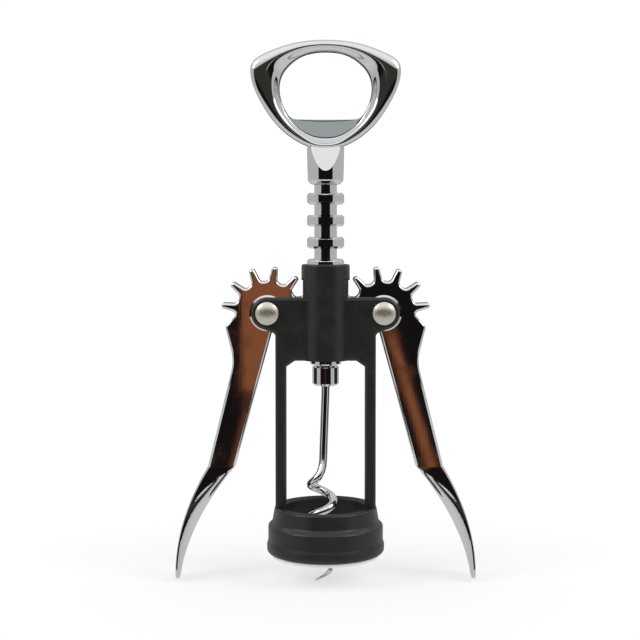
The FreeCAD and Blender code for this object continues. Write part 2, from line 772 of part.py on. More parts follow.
# Place on the screw's centre line at a number of quarter turns after the shank's end. The first quarter turn
# swings out from the shank, and the rest is a right-handed helix. Both lean as the shank does
def wormPlace(quarters):
    pitch = value("helixPitch")
    radius = value("helixRadius")
    if quarters < 1:
        swing = 90 * quarters ** 2
        out = radius * quarters ** 2 * (3 - 2 * quarters)
        drop = pitch * (1.5 * quarters - 0.5 * quarters ** 2)
    else:
        swing = 90 * quarters
        out = radius
        drop = pitch * (1 + (quarters - 1) / 4)
    angle = math.radians(-90 - swing)
    z = value("shankEnd") - drop
    lean = math.tan(math.radians(value("screwLean"))) * (value(f"{collarTop} - collarLength - leanBend / 2") - z)
    return vector(out * math.cos(angle) - lean, out * math.sin(angle), z)


# Direction of the centre line, downwards along the lean where the shank ends
def wormAlong(quarters):
    if quarters == 0:
        lean = math.radians(value("screwLean"))
        return vector(-math.sin(lean), 0, -math.cos(lean))
    step = 0.0005
    return (wormPlace(quarters + step) - wormPlace(quarters - step)).normalize()


def wormPath(stops):
    edges = []
    for low, high in zip(stops, stops[1:]):
        edges += arcPair(wormPlace(low), wormAlong(low), wormPlace(high), wormAlong(high))
    return edges


def ringAt(place, along, radius):
    return Part.Wire([Part.Circle(place, along, radius).toShape()])


def sweepWire(edges, rings):
    sweep = Part.BRepOffsetAPI.MakePipeShell(Part.Wire(edges))
    for ring in rings:
        sweep.add(ring)
    sweep.build()
    sweep.makeSolid()
    return sweep.shape()


# Worm: shank with a slight bend under the collar, lead-in, helix and a tapered point
def makeWorm():
    wire = value("wireRadius")
    last = 1 + 4 * value("helixTurns")
    taper = last - 4 * value("taperTurns")
    count = math.ceil((taper - 1) / 1.3)
    turns = [1 + (taper - 1) * step / count for step in range(count + 1)]
    stops = [0.0, 0.3, 0.65] + turns
    down = vector(0, 0, -1)
    bendTop = vector(0, 0, value(f"{collarTop} - collarLength"))
    lean = math.radians(value("screwLean"))
    bendEnd = bendTop + vector(-math.tan(lean) / 2, 0, -1) * value("leanBend")
    shankEnd = wormPlace(0)
    path = arcPair(bendTop, down, bendEnd, wormAlong(0))
    path.append(Part.LineSegment(bendEnd, shankEnd).toShape())
    body = sweepWire(path + wormPath(stops), [ringAt(bendTop, down, wire)])
    count = math.ceil((last - taper) / 1.3)
    ends = [taper + (last - taper) * step / count for step in range(count + 1)]
    point = sweepWire(wormPath(ends), [
        ringAt(wormPlace(taper), wormAlong(taper), wire),
        ringAt(wormPlace(last), wormAlong(last), value("pointRadius")),
    ])
    top = value(f"{socketBottom} + socketDepth - endClearance")
    shank = Part.makeCylinder(wire, top - bendTop.z, bendTop)
    worm = doc.addObject("Part::Feature", "worm")
    worm.Label = "worm"
    worm.Shape = shank.fuse([body, point])
    return worm


pieces = [
    makeFrame(),
    makeLiner(),
    makeRivet("left_rivet", f"-{pivotX}"),
    makeRivet("right_rivet", pivotX),
    makeRivetCap("left_rivet_cap", f"-{pivotX}"),
    makeRivetCap("right_rivet_cap", pivotX),
    makeRack(),
    makeHandle(),
    makeWorm(),
    makeCollar(),
    makeArm("left_arm", f"-{pivotX}", False),
    makeArm("right_arm", pivotX, True),
]
doc.recompute()

for item in doc.Objects:
    if "Invalid" in item.State or "Error" in item.State:
        raise RuntimeError(f"{item.Name} failed: {item.State}")
for piece in pieces:
    if piece.Shape.isNull() or not piece.Shape.isValid() or len(piece.Shape.Solids) != 1:
        raise RuntimeError(f"{piece.Label} is not one sound solid: {len(piece.Shape.Solids)}")

os.makedirs("parts", exist_ok=True)
for piece in pieces:
    piece.Shape.exportStep(f"parts/{piece.Label}.step")
    print(piece.Label, round(piece.Shape.Volume, 1))
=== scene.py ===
# Wing corkscrew: bright chrome lever arms, rack, worm and loop handle on a satin black frame
import math

import bmesh
import bpy
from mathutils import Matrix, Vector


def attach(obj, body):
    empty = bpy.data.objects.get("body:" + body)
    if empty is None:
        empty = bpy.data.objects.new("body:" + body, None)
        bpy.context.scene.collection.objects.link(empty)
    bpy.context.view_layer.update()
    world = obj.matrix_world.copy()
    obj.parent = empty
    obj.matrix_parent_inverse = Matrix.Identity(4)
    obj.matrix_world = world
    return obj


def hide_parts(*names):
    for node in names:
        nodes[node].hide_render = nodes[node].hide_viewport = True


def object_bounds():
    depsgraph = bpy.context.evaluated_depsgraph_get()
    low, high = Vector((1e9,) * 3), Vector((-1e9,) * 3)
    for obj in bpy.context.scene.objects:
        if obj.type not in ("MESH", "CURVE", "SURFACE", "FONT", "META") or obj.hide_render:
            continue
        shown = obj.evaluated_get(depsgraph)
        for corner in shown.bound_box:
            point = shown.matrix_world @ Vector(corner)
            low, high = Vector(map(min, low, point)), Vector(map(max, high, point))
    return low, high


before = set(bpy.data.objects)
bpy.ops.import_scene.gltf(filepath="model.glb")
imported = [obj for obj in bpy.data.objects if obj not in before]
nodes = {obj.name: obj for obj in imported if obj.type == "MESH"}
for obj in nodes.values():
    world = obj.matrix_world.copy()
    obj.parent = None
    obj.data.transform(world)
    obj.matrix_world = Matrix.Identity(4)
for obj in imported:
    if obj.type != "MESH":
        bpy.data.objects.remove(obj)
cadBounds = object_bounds()
print("frame loaded:", len(nodes), "nodes")

mm = 0.001


def linear(hexColour):
    # sRGB hex to the linear values that shaders take
    parts = [int(hexColour[i:i + 2], 16) / 255 for i in (1, 3, 5)]
    return [p / 12.92 if p <= 0.04045 else ((p + 0.055) / 1.055) ** 2.4 for p in parts] + [1.0]


def addNode(tree, kind, values=None, links=None, **settings):
    # One node with its settings, socket values and incoming links
    node = tree.nodes.new(kind)
    for name, setting in settings.items():
        setattr(node, name, setting)
    for socket, value in (values or {}).items():
        node.inputs[socket].default_value = value
    for socket, source in (links or {}).items():
        tree.links.new(source, node.inputs[socket])
    return node


def newMaterial(name):
    material = bpy.data.materials.new(name)
    material.use_nodes = True
    tree = material.node_tree
    tree.nodes.clear()
    output = addNode(tree, "ShaderNodeOutputMaterial")
    place = addNode(tree, "ShaderNodeTexCoord").outputs["Object"]
    return material, tree, output, place


def finishMaterial(tree, output, shader):
    tree.links.new(shader.outputs["BSDF"], output.inputs["Surface"])


def rampBetween(tree, source, low, high, lowColour, highColour):
    ramp = addNode(tree, "ShaderNodeValToRGB", links={"Fac": source})
    ramp.color_ramp.elements[0].position = low
    ramp.color_ramp.elements[0].color = lowColour
    ramp.color_ramp.elements[1].position = high
    ramp.color_ramp.elements[1].color = highColour
    return ramp


# Chrome: nickel-chrome plate over polished zinc castings. Near-mirror, with a slow waviness left by
# hand polishing, a few hair scratches and faint smears that soften the reflections.
chrome = {
    "colour": "#e3e4e4", "roughness": 0.025, "smearRoughness": 0.07, "smearPitch": 8.333, "smearFrom": 0.5,
    "smearTo": 0.75, "wavePitch": 12.0, "waveDepth": 0.005, "scratchPitch": 0.5, "scratchDepth": 0.0006,
    "scratchStretch": 0.04, "scratchTurn": (0.3, 0.2, 0.5),
}


def makeChrome(name, settings):
    material, tree, output, place = newMaterial(name)
    wave = addNode(
        tree, "ShaderNodeTexNoise", {"Scale": 1000 / settings["wavePitch"], "Detail": 1.0}, {"Vector": place})
    stretched = addNode(
        tree, "ShaderNodeMapping",
        {"Scale": (1.0, 1.0, settings["scratchStretch"]), "Rotation": settings["scratchTurn"]},
        {"Vector": place})
    scratch = addNode(
        tree, "ShaderNodeTexNoise",
        {"Scale": 1000 / settings["scratchPitch"], "Detail": 3.0, "Roughness": 0.7},
        {"Vector": stretched.outputs["Vector"]})
    smear = addNode(
        tree, "ShaderNodeTexNoise", {"Scale": 1000 / settings["smearPitch"], "Detail": 4.0},
        {"Vector": place})
    roughness = addNode(
        tree, "ShaderNodeMapRange",
        {"From Min": settings["smearFrom"], "From Max": settings["smearTo"], "To Min": settings["roughness"],
         "To Max": settings["smearRoughness"]},
        {"Value": smear.outputs["Fac"]})
    waves = addNode(
        tree, "ShaderNodeBump", {"Strength": 1.0, "Distance": settings["waveDepth"] * mm},
        {"Height": wave.outputs["Fac"]})
    scratches = addNode(
        tree, "ShaderNodeBump", {"Strength": 1.0, "Distance": settings["scratchDepth"] * mm},
        {"Height": scratch.outputs["Fac"], "Normal": waves.outputs["Normal"]})
    shader = addNode(
        tree, "ShaderNodeBsdfPrincipled", {"Base Color": linear(settings["colour"]), "Metallic": 1.0},
        {"Roughness": roughness.outputs["Result"], "Normal": scratches.outputs["Normal"]})
    finishMaterial(tree, output, shader)
    return material


# Enamel: satin black stove enamel sprayed on the rough casting. Fine orange peel, a soft sheen on every
# edge and slightly greyer dust in the open.
enamel = {
    "colour": "#171615", "dustColour": "#1c1b1a", "smoothest": 0.3, "roughest": 0.44, "roughFrom": 0.3,
    "roughTo": 0.7, "dustPitch": 5.556, "dustFrom": 0.42, "dustTo": 0.68, "peelPitch": 0.9, "peelDepth": 0.012,
}


def makeEnamel(name, settings):
    material, tree, output, place = newMaterial(name)
    peel = addNode(
        tree, "ShaderNodeTexNoise", {"Scale": 1000 / settings["peelPitch"], "Detail": 2.0}, {"Vector": place})
    dust = addNode(
        tree, "ShaderNodeTexNoise", {"Scale": 1000 / settings["dustPitch"], "Detail": 5.0, "Roughness": 0.65},
        {"Vector": place})
    colour = rampBetween(
        tree, dust.outputs["Fac"], settings["dustFrom"], settings["dustTo"], linear(settings["colour"]),
        linear(settings["dustColour"]))
    roughness = addNode(
        tree, "ShaderNodeMapRange",
        {"From Min": settings["roughFrom"], "From Max": settings["roughTo"], "To Min": settings["smoothest"],
         "To Max": settings["roughest"]},
        {"Value": dust.outputs["Fac"]})
    bump = addNode(
        tree, "ShaderNodeBump", {"Strength": 1.0, "Distance": settings["peelDepth"] * mm},
        {"Height": peel.outputs["Fac"]})
    shader = addNode(
        tree, "ShaderNodeBsdfPrincipled", {"Specular IOR Level": 0.5},
        {"Base Color": colour.outputs["Color"], "Roughness": roughness.outputs["Result"],
         "Normal": bump.outputs["Normal"]})
    finishMaterial(tree, output, shader)
    return material


# Nylon: natural injection-moulded nylon, milky and matt with a fine mould grain
nylon = {
    "colour": "#f2f1ee", "roughness": 0.5, "milkiness": 0.15, "milkDepth": 2.0, "grainPitch": 0.6,
    "grainDepth": 0.01,
}


def makeNylon(name, settings):
    material, tree, output, place = newMaterial(name)
    grain = addNode(
        tree, "ShaderNodeTexNoise", {"Scale": 1000 / settings["grainPitch"], "Detail": 2.0},
        {"Vector": place})
    bump = addNode(
        tree, "ShaderNodeBump", {"Strength": 1.0, "Distance": settings["grainDepth"] * mm},
        {"Height": grain.outputs["Fac"]})
    shader = addNode(
        tree, "ShaderNodeBsdfPrincipled",
        {"Base Color": linear(settings["colour"]), "Roughness": settings["roughness"],
         "Subsurface Weight": settings["milkiness"], "Subsurface Scale": settings["milkDepth"] * mm},
        {"Normal": bump.outputs["Normal"]})
    finishMaterial(tree, output, shader)
    return material


# Nickel: satin nickel plate on the rivet heads, a warm grey with fine tumbling marks
nickel = {
    "colour": "#dcd5c8", "smoothest": 0.28, "roughest": 0.4, "roughFrom": 0.3, "roughTo": 0.7,
    "tumblePitch": 0.35, "tumbleDepth": 0.004,
}


def makeNickel(name, settings):
    material, tree, output, place = newMaterial(name)
    tumble = addNode(
        tree, "ShaderNodeTexNoise", {"Scale": 1000 / settings["tumblePitch"], "Detail": 3.0},
        {"Vector": place})
    roughness = addNode(
        tree, "ShaderNodeMapRange",
        {"From Min": settings["roughFrom"], "From Max": settings["roughTo"], "To Min": settings["smoothest"],
         "To Max": settings["roughest"]},
        {"Value": tumble.outputs["Fac"]})
    bump = addNode(
        tree, "ShaderNodeBump", {"Strength": 1.0, "Distance": settings["tumbleDepth"] * mm},
        {"Height": tumble.outputs["Fac"]})
    shader = addNode(
        tree, "ShaderNodeBsdfPrincipled", {"Base Color": linear(settings["colour"]), "Metallic": 1.0},
        {"Roughness": roughness.outputs["Result"], "Normal": bump.outputs["Normal"]})
    finishMaterial(tree, output, shader)
    return material


chromeMaterial = makeChrome("BrightChromePlate", chrome)
nylonMaterial = makeNylon("MouldedNylon", nylon)
finishes = {
    chromeMaterial: ("handle", "rack_sleeve", "worm", "worm_collar", "left_arm", "right_arm"),
    makeEnamel("SatinBlackEnamel", enamel): ("frame",),
    nylonMaterial: ("bell_liner",),
    makeNickel("SatinNickelPlate", nickel):
        ("left_rivet", "right_rivet", "left_rivet_cap", "right_rivet_cap"),
}
for material, names in finishes.items():
    for name in names:
        mesh = nodes[name].data
        mesh.materials.clear()
        mesh.materials.append(material)
print("materials assigned")


def turnedRing(form, radius, height, segments):
    # Ring of points round the upright axis in millimetres, or one point on the axis
    if radius == 0:
        return [form.verts.new((0, 0, height * mm))]
    turns = [2 * math.pi * k / segments for k in range(segments)]
    return [
        form.verts.new((radius * mm * math.cos(turn), radius * mm * math.sin(turn), height * mm))
        for turn in turns]


def joinRings(form, first, second):
    # Faces between two rings, either of which may be a single point
    count = max(len(first), len(second))
    for k in range(count):
        m = (k + 1) % count
        corners = [
            first[k % len(first)], first[m % len(first)], second[m % len(second)], second[k % len(second)]]
        form.faces.new(list(dict.fromkeys(corners)))


def cutAway(form, place, direction):
    # Removes what lies beyond a plane, and returns the edges round the cut
    cut = bmesh.ops.bisect_plane(
        form, geom=form.verts[:] + form.edges[:] + form.faces[:], clear_outer=True, plane_co=place,
        plane_no=direction)
    return [item for item in cut["geom_cut"] if isinstance(item, bmesh.types.BMEdge)]


def lineBetween(first, second, share):
    # Line part of the way from one half-line to the next
    return [tuple(a + (b - a) * share for a, b in zip(p, q)) for p, q in zip(first, second)]


def finishPiece(name, form, body, slotName, material, *replaced):
    # Smooth-shaded object from a bmesh, on its body and in place of its plain nodes
    mesh = bpy.data.meshes.new(name)
    bmesh.ops.recalc_face_normals(form, faces=form.faces)
    form.to_mesh(mesh)
    form.free()
    mesh.materials.append(material)
    mesh.shade_smooth()
    piece = bpy.data.objects.new(name, mesh)
    bpy.context.scene.collection.objects.link(piece)
    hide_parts(*replaced)
    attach(piece, body)
    return piece


def applyModifiers(piece):
    bpy.context.view_layer.update()
    solid = bpy.data.meshes.new_from_object(piece.evaluated_get(bpy.context.evaluated_depsgraph_get()))
    piece.modifiers.clear()
    piece.data = solid


# Handle: a crowned loop with a dish round its opening and a straight cap-lifter lip, on a round socket with
# a thumb flat in front and behind. Each line of the loop runs from the middle of the crown down its right
# side to the neck, in millimetres across and up from the socket's lower face. The section names two of the
# lines, how far it lies from one to the other, and how far out as a share of the depth
loop = {
    "depth": 4.0, "lipDepth": 1.5, "levels": 3, "lipStations": (8, 9, 10, 11, 12),
    "lipCrease": 0.95, "openingCrease": 0.7, "footCrease": 0.9,
    "section": [("outline", "outline", 0, 0.55), ("outline", "crestOuter", 0.35, 0.84),
                ("crestOuter", "crestOuter", 0, 0.975), ("crestOuter", "crestInner", 0.5, 1.005),
                ("crestInner", "crestInner", 0, 0.96), ("crestInner", "dishEdge", 0.5, 0.66)],
    "outline": [(0, 46.35), (6.5, 46.0), (12.6, 44.8), (18.4, 42.6), (22.9, 40.5), (24.7, 37.3),
                (23.6, 31.5), (20.4, 25.3), (16.8, 20.0), (12.8, 16.1), (8.9, 13.6), (5.9, 12.2), (0, 10.5)],
    "crestOuter": [(0, 45.1), (6.3, 44.7), (12.1, 43.2), (17.5, 40.6), (21.5, 38.0), (23.0, 35.2),
                   (22.0, 30.5), (18.9, 24.8), (15.4, 19.7), (11.6, 15.9), (7.9, 13.7), (5.1, 12.2),
                   (0, 11.6)],
    "crestInner": [(0, 43.8), (6.0, 43.3), (11.0, 41.6), (14.8, 39.4), (16.6, 36.8), (17.2, 33.5),
                   (17.1, 29.5), (15.9, 25.0), (13.2, 20.8), (9.8, 17.4), (6.3, 15.0), (3.7, 13.2),
                   (0, 12.6)],
    "dishEdge": [(0, 43.0), (4.6, 42.7), (8.8, 41.2), (12.4, 38.4), (14.4, 35.6), (15.2, 32.5),
                 (15.1, 29.0), (14.0, 24.7), (11.9, 20.9), (9.5, 18.2), (6.2, 15.8), (3.2, 14.6), (0, 14.3)],
    "opening": [(0, 42.6), (4.4, 42.25), (8.5, 40.95), (12.0, 38.1), (14.0, 35.4), (14.9, 32.4),
                (14.9, 29.0), (13.6, 24.7), (11.3, 20.85), (8.6, 20.85), (5.8, 20.85), (2.9, 20.85),
                (0, 20.85)],
}
socket = {
    "bottom": 119.71, "segments": 96, "sharpAngle": 14.0,
    "flatFoot": 4.1, "flatLean": 16.0, "flatReach": 5.85,
    "profile": [(0, 0), (4.3, 0), (4.7, 0.1), (5.6, 1.0), (5.75, 1.4), (5.85, 5.0), (5.98, 10.0), (6.0, 11.6),
                (5.7, 12.1), (4.5, 12.6), (0, 12.8)],
}


def buildLoop(form, settings):
    half = [
        (lineBetween(settings[first], settings[second], share), out * settings["depth"])
        for first, second, share, out in settings["section"]]
    for share in (0, 0.5, 1):
        half.append((lineBetween(settings["dishEdge"], settings["opening"], share), settings["lipDepth"]))
    rows = [(settings["outline"], 0.0)] + [(line, -y) for line, y in half]
    rows += [(settings["opening"], 0.0)] + list(reversed(half))
    rings = []
    for line, y in rows:
        around = line + [(-x, z) for x, z in line[-2:0:-1]]
        rings.append([form.verts.new((x * mm, y * mm, (socket["bottom"] + z) * mm)) for x, z in around])
    for ring, following in zip(rings, rings[1:] + rings[:1]):
        joinRings(form, ring, following)
    # The opening's edges and the foot of the lip stay crisp, to grip a crown cap
    crease = form.edges.layers.float.new("crease_edge")
    count = len(rings[0])
    edgeRows, footRows = (len(half), len(half) + 2), (len(half) - 2, len(half) + 4)
    for row in edgeRows + footRows:
        for i in range(count):
            edge = form.edges.get((rings[row][i], rings[row][(i + 1) % count]))
            onLip = min(i, count - i) in settings["lipStations"]
            if row in edgeRows:
                edge[crease] = settings["lipCrease"] if onLip else settings["openingCrease"]
            elif onLip:
                edge[crease] = settings["footCrease"]


def buildSocket(form, settings):
    rings = [
        turnedRing(form, radius, settings["bottom"] + height, settings["segments"])
        for radius, height in settings["profile"]]
    for ring, following in zip(rings, rings[1:]):
        joinRings(form, ring, following)
    # Thumb flats, which lean back towards the top
    lean = math.radians(settings["flatLean"])
    for sign in (-1, 1):
        flatEdges = cutAway(
            form, (0, sign * settings["flatReach"] * mm, (settings["bottom"] + settings["flatFoot"]) * mm),
            (0, sign * math.cos(lean), math.sin(lean)))
        bmesh.ops.contextual_create(form, geom=flatEdges)


form = bmesh.new()
buildLoop(form, loop)
handleCast = finishPiece("handle_loop", form, "spindle", "chrome", chromeMaterial, "handle")
smoother = handleCast.modifiers.new("Smoother", "SUBSURF")
smoother.levels = loop["levels"]
smoother.render_levels = loop["levels"]
applyModifiers(handleCast)
form = bmesh.new()
buildSocket(form, socket)
socketCast = finishPiece("handle_socket", form, "spindle", "chrome", chromeMaterial, "handle")
socketCast.data.set_sharp_from_angle(angle=math.radians(socket["sharpAngle"]))
print("handle built")

# Arms: die-cast levers with rounded rims. Seven finger teeth stand round the hub, whose foot is cut off
# level inside the lever. Corners are millimetres outwards and up from the pivot, with a rounding where the
# casting has one. A tooth's corners are millimetres along it and to its side
arm = {
    "pivotX": 18.8, "pivotZ": 78.2, "half": 2.5, "rim": 0.75, "rimSteps": 4, "cornerSteps": 7,
    "kneeDrop": 50.0, "kneeMargin": 1e-6,
    "root": 10.3, "teeth": 7, "toothPitch": 30.0, "firstTooth": 189.5, "rootHalf": 13.5,
    "tooth": [(10.5, 1.42, 1.3), (15.0, 0.88, 0.78)],
    "lever": [(13.7, -4.4, 1.6), (10.9, -15.5, 14.0), (19.4, -50.0, 0), (10.6, -50.0, 0), (-1.54, -5.7, 0.8),
              (-8.58, -5.7, 0.8)],
    "bossRadius": 5.8, "bossTop": 5.2, "bossHeight": 0.2, "bossSegments": 72, "paddleSharpAngle": 32.0,
}


def roundCorners(corners, steps):
    # Closed outline with each corner that has a rounding replaced by an arc
    points = []
    for k, (x, y, radius) in enumerate(corners):
        if not radius:
            points.append((x, y))
            continue
        legs = []
        for other in (corners[k - 1], corners[(k + 1) % len(corners)]):
            dx, dy = other[0] - x, other[1] - y
            length = math.hypot(dx, dy)
            legs.append((dx / length, dy / length))
        turn = math.acos(max(-1, min(1, legs[0][0] * legs[1][0] + legs[0][1] * legs[1][1])))
        run = radius / math.tan(turn / 2)
        middle = (legs[0][0] + legs[1][0], legs[0][1] + legs[1][1])
        reach = radius / math.sin(turn / 2) / math.hypot(*middle)
        centre = (x + middle[0] * reach, y + middle[1] * reach)
        start = math.atan2(y + legs[0][1] * run - centre[1], x + legs[0][0] * run - centre[0])
        sweep = math.atan2(y + legs[1][1] * run - centre[1], x + legs[1][0] * run - centre[0]) - start
        sweep = (sweep + math.pi) % (2 * math.pi) - math.pi
        for step in range(steps + 1):
            angle = start + sweep * step / steps
            points.append((centre[0] + radius * math.cos(angle), centre[1] + radius * math.sin(angle)))
    return points


def armOutline(settings):
    # Outline seen from the front with the outside of the arm towards +x
    corners = []
    rootHalf = math.radians(settings["rootHalf"])
    root = (settings["root"] * math.cos(rootHalf), settings["root"] * math.sin(rootHalf), 0)
    flank = [root] + settings["tooth"]
    for number in range(settings["teeth"]):
        angle = math.radians(settings["firstTooth"] - number * settings["toothPitch"])
        for side, points in ((1, flank), (-1, flank[::-1])):
            for along, off, radius in points:
                corners.append((along * math.cos(angle) - side * off * math.sin(angle),
                                along * math.sin(angle) + side * off * math.cos(angle), radius))
    return roundCorners(corners + settings["lever"], settings["cornerSteps"])


def flatCap(form, ring):
    # Flat face over a ring, with a sharp edge all round
    form.faces.new(ring)
    for k in range(len(ring)):
        form.edges.get((ring[k], ring[(k + 1) % len(ring)])).smooth = False


def armRing(form, sign, settings, points, y):
    # Points across and up from the pivot, set on the arm's side of the frame
    return [
        form.verts.new((sign * (settings["pivotX"] + x) * mm, y * mm, (settings["pivotZ"] + z) * mm))
        for x, z in points]


def insetOutline(outline, inset, settings):
    # Outline drawn in by the inset. Its lower end stays at the knee, where the paddle goes on
    points = []
    for k, (x, z) in enumerate(outline):
        before, after = outline[k - 1], outline[(k + 1) % len(outline)]
        dx, dz = after[0] - before[0], after[1] - before[1]
        length = math.hypot(dx, dz)
        atKnee = z < settings["kneeMargin"] - settings["kneeDrop"]
        points.append((x + dz / length * inset, z if atKnee else z - dx / length * inset))
    return points


def buildArm(form, sign, settings):
    outline = armOutline(settings)
    rim, half, steps = settings["rim"], settings["half"], settings["rimSteps"]
    rings = []
    for face, order in ((-1, range(steps, -1, -1)), (1, range(steps + 1))):
        for step in order:
            angle = math.pi / 2 * step / steps
            points = insetOutline(outline, rim * (1 - math.cos(angle)), settings)
            rings.append(armRing(form, sign, settings, points, face * (half - rim * (1 - math.sin(angle)))))
    for first, second in zip(rings, rings[1:]):
        joinRings(form, first, second)
    flatCap(form, rings[0])
    flatCap(form, rings[-1][::-1])
    # Boss on both faces, which bears on the plates
    turns = [2 * math.pi * k / settings["bossSegments"] for k in range(settings["bossSegments"])]
    bossRims = ((settings["bossRadius"], half), (settings["bossTop"], half + settings["bossHeight"]))
    for face in (-1, 1):
        levels = []
        for radius, y in bossRims:
            points = [(radius * math.cos(turn), radius * math.sin(turn)) for turn in turns]
            levels.append(armRing(form, sign, settings, points, face * y))
        joinRings(form, *levels)
        for level in levels:
            flatCap(form, level if face < 0 else level[::-1])


def buildPaddle(form, node, settings):
    # The paddle keeps the casting's own form below the knee
    plain = nodes[node].data
    corners = [form.verts.new(vertex.co) for vertex in plain.vertices]
    for face in plain.polygons:
        form.faces.new([corners[i] for i in face.vertices])
    bmesh.ops.remove_doubles(form, verts=form.verts, dist=0.001 * mm)
    kneeEdges = cutAway(form, (0, 0, (settings["pivotZ"] - settings["kneeDrop"]) * mm), (0, 0, 1))
    bmesh.ops.holes_fill(form, edges=kneeEdges, sides=0)


for node, sign in (("left_arm", -1), ("right_arm", 1)):
    form = bmesh.new()
    buildArm(form, sign, arm)
    finishPiece(node + "_lever", form, node, "chrome", chromeMaterial, node)
    form = bmesh.new()
    buildPaddle(form, node, arm)
    paddle = finishPiece(node + "_paddle", form, node, "chrome", chromeMaterial, node)
    paddle.data.set_sharp_from_angle(angle=math.radians(arm["paddleSharpAngle"]))
print("arms built")

# Nylon ring in the bell, with a wall that ends low enough to leave the bell's mouth black. Its profile is in
# millimetres out from the axis and up
ring = {
    "segments": 128, "sharpAngle": 40.0,
    "profile": [(14.8, -0.75), (14.93, -1.07), (15.25, -1.2), (17.15, -1.2), (17.47, -1.07), (17.6, -0.75),
                (17.6, 0), (15.7, 0), (15.7, 8.2), (14.8, 8.2)],
}


def buildRing(form, settings):
    circles = [
        turnedRing(form, radius, height, settings["segments"]) for radius, height in settings["profile"]]
    for circle, following in zip(circles, circles[1:] + circles[:1]):
        joinRings(form, circle, following)


form = bmesh.new()
buildRing(form, ring)
nylonRing = finishPiece("bell_ring", form, "frame", "nylon", nylonMaterial, "bell_liner")
nylonRing.data.set_sharp_from_angle(angle=math.radians(ring["sharpAngle"]))
print("nylon ring built")

# Camera at the height of the rack, as the photograph was taken. It looks down a little, and a small shift
# does the rest, so that the uprights stay nearly parallel
view = {
    "distance": 440 * mm, "height": 106.6 * mm, "mmPerPixel": 0.3238, "pixels": 640, "axisPixel": 325.6,
    "eyePixel": 225.0, "shiftPixels": 38.0, "sensor": 36.0,
}

camera = bpy.data.objects.new("Camera", bpy.data.cameras.new("Camera"))
bpy.context.scene.collection.objects.link(camera)
bpy.context.scene.camera = camera
frameWidth = view["pixels"] * view["mmPerPixel"] * mm
camera.data.lens = view["sensor"] * view["distance"] / frameWidth
camera.data.sensor_width = view["sensor"]
camera.data.shift_x = (view["pixels"] / 2 - view["axisPixel"]) / view["pixels"]
camera.data.shift_y = -view["shiftPixels"] / view["pixels"]
downPixels = view["pixels"] / 2 - view["shiftPixels"] - view["eyePixel"]
downTilt = math.atan(downPixels * view["mmPerPixel"] * mm / view["distance"])
camera.location = (0, -view["distance"], view["height"])
camera.rotation_euler = (math.radians(90) - downTilt, 0, 0)

# Pale floor just under the lowest point, fading to white away from the object by a painted glow: emission is
# mixed over the lit paper and lightens its shade, a 0.55 share near the object rising to all of it further
# out. Polished faces reflect the studio instead of it
floorSettings = {
    "half": 3.0, "colour": "#fbfbfb", "gap": 0.2 * mm, "fadeFrom": 0.03, "fadeTo": 0.17, "leastGlow": 0.55,
    "glow": 1.02,
}
lowest = cadBounds[0][2]
mesh = bpy.data.meshes.new("Floor")
half = floorSettings["half"]
mesh.from_pydata([(-half, -half, 0), (half, -half, 0), (half, half, 0), (-half, half, 0)], [], [(0, 1, 2, 3)])
floor = bpy.data.objects.new("Floor", mesh)
floor.location.z = lowest - floorSettings["gap"]
bpy.context.scene.collection.objects.link(floor)
material, tree, output, place = newMaterial("FloorPaperPaintedGlow")
away = addNode(tree, "ShaderNodeVectorMath", links={0: place}, operation="LENGTH")
# Share of painted glow over the paper: the least share near the object, and all glow from fadeTo outwards
glowShare = addNode(
    tree, "ShaderNodeMapRange",
    {"From Min": floorSettings["fadeFrom"], "From Max": floorSettings["fadeTo"],
     "To Min": floorSettings["leastGlow"]},
    {"Value": away.outputs["Value"]}, interpolation_type="SMOOTHSTEP")
paper = addNode(tree, "ShaderNodeBsdfDiffuse", {"Color": linear(floorSettings["colour"])})
glow = addNode(tree, "ShaderNodeEmission", {"Color": linear("#ffffff"), "Strength": floorSettings["glow"]})
mixed = addNode(
    tree, "ShaderNodeMixShader", links={0: glowShare.outputs["Result"], 1: paper.outputs[0], 2: glow.outputs[0]})
tree.links.new(mixed.outputs[0], output.inputs["Surface"])
mesh.materials.append(material)
floor.visible_glossy = False

# Studio: light grey walls, a brighter ceiling, and in front a dark doorway with warm brown strips, a brown
# patch and a grey screen in it, which the polished faces show. Behind, the same doorway is narrower and the
# ceiling dimmer. Places are degrees up from level and sideways from the middle
studio = {
    "wall": "#bfc1c1", "lowWall": "#d5d6d5", "lowFrom": -40.0, "lowTo": -5.0, "edge": 0.1, "backdrop": 1.02,
    "ceiling": "#ffffff", "ceilingFrom": 14.0, "ceilingTo": 38.0, "rearCeiling": 0.25, "rearFrom": 0.35,
    "dark": "#161314", "darkHigh": "#33362f", "highFrom": 1.5, "highTo": 5.0, "darkTop": 16.0, "topFade": 4.0,
    "darkBottom": -10.9, "bottomFade": 0.3,
    "darkHalf": 44.0, "rearHalf": 14.0, "turnFade": 0.1, "sideFade": 5.0,
    "brown": "#8a5236", "stripBottom": -10.3, "rightStart": 1.3, "rightSlope": 0.315, "rightHalf": 0.2,
    "rightTop": -4.2, "leftStart": 1.27, "leftSlope": 0.267, "leftHalf": 0.06,
    "patchFrom": 1.4, "patchTo": 3.55, "patchTop": -1.7, "patchBottom": -7.0,
    "footFrom": 3.6, "footTo": 6.0, "footBottom": -11.2,
    "grey": "#a9aeb1", "screenHalf": 1.55, "screenTop": 5.0, "screenBottom": 3.4,
}

world = bpy.data.worlds.new("Studio")
bpy.context.scene.world = world
world.use_nodes = True
tree = world.node_tree
tree.nodes.clear()
output = addNode(tree, "ShaderNodeOutputWorld")
direction = addNode(tree, "ShaderNodeTexCoord").outputs["Generated"]
split = addNode(tree, "ShaderNodeSeparateXYZ", links={"Vector": direction})


def measure(operation, *sources, **fixed):
    # Result of one sum, with the sources on the first sockets and fixed numbers by the socket's number
    node = addNode(
        tree, "ShaderNodeMath", {int(name[1:]): number for name, number in fixed.items()},
        dict(enumerate(sources)), operation=operation)
    return node.outputs[0]


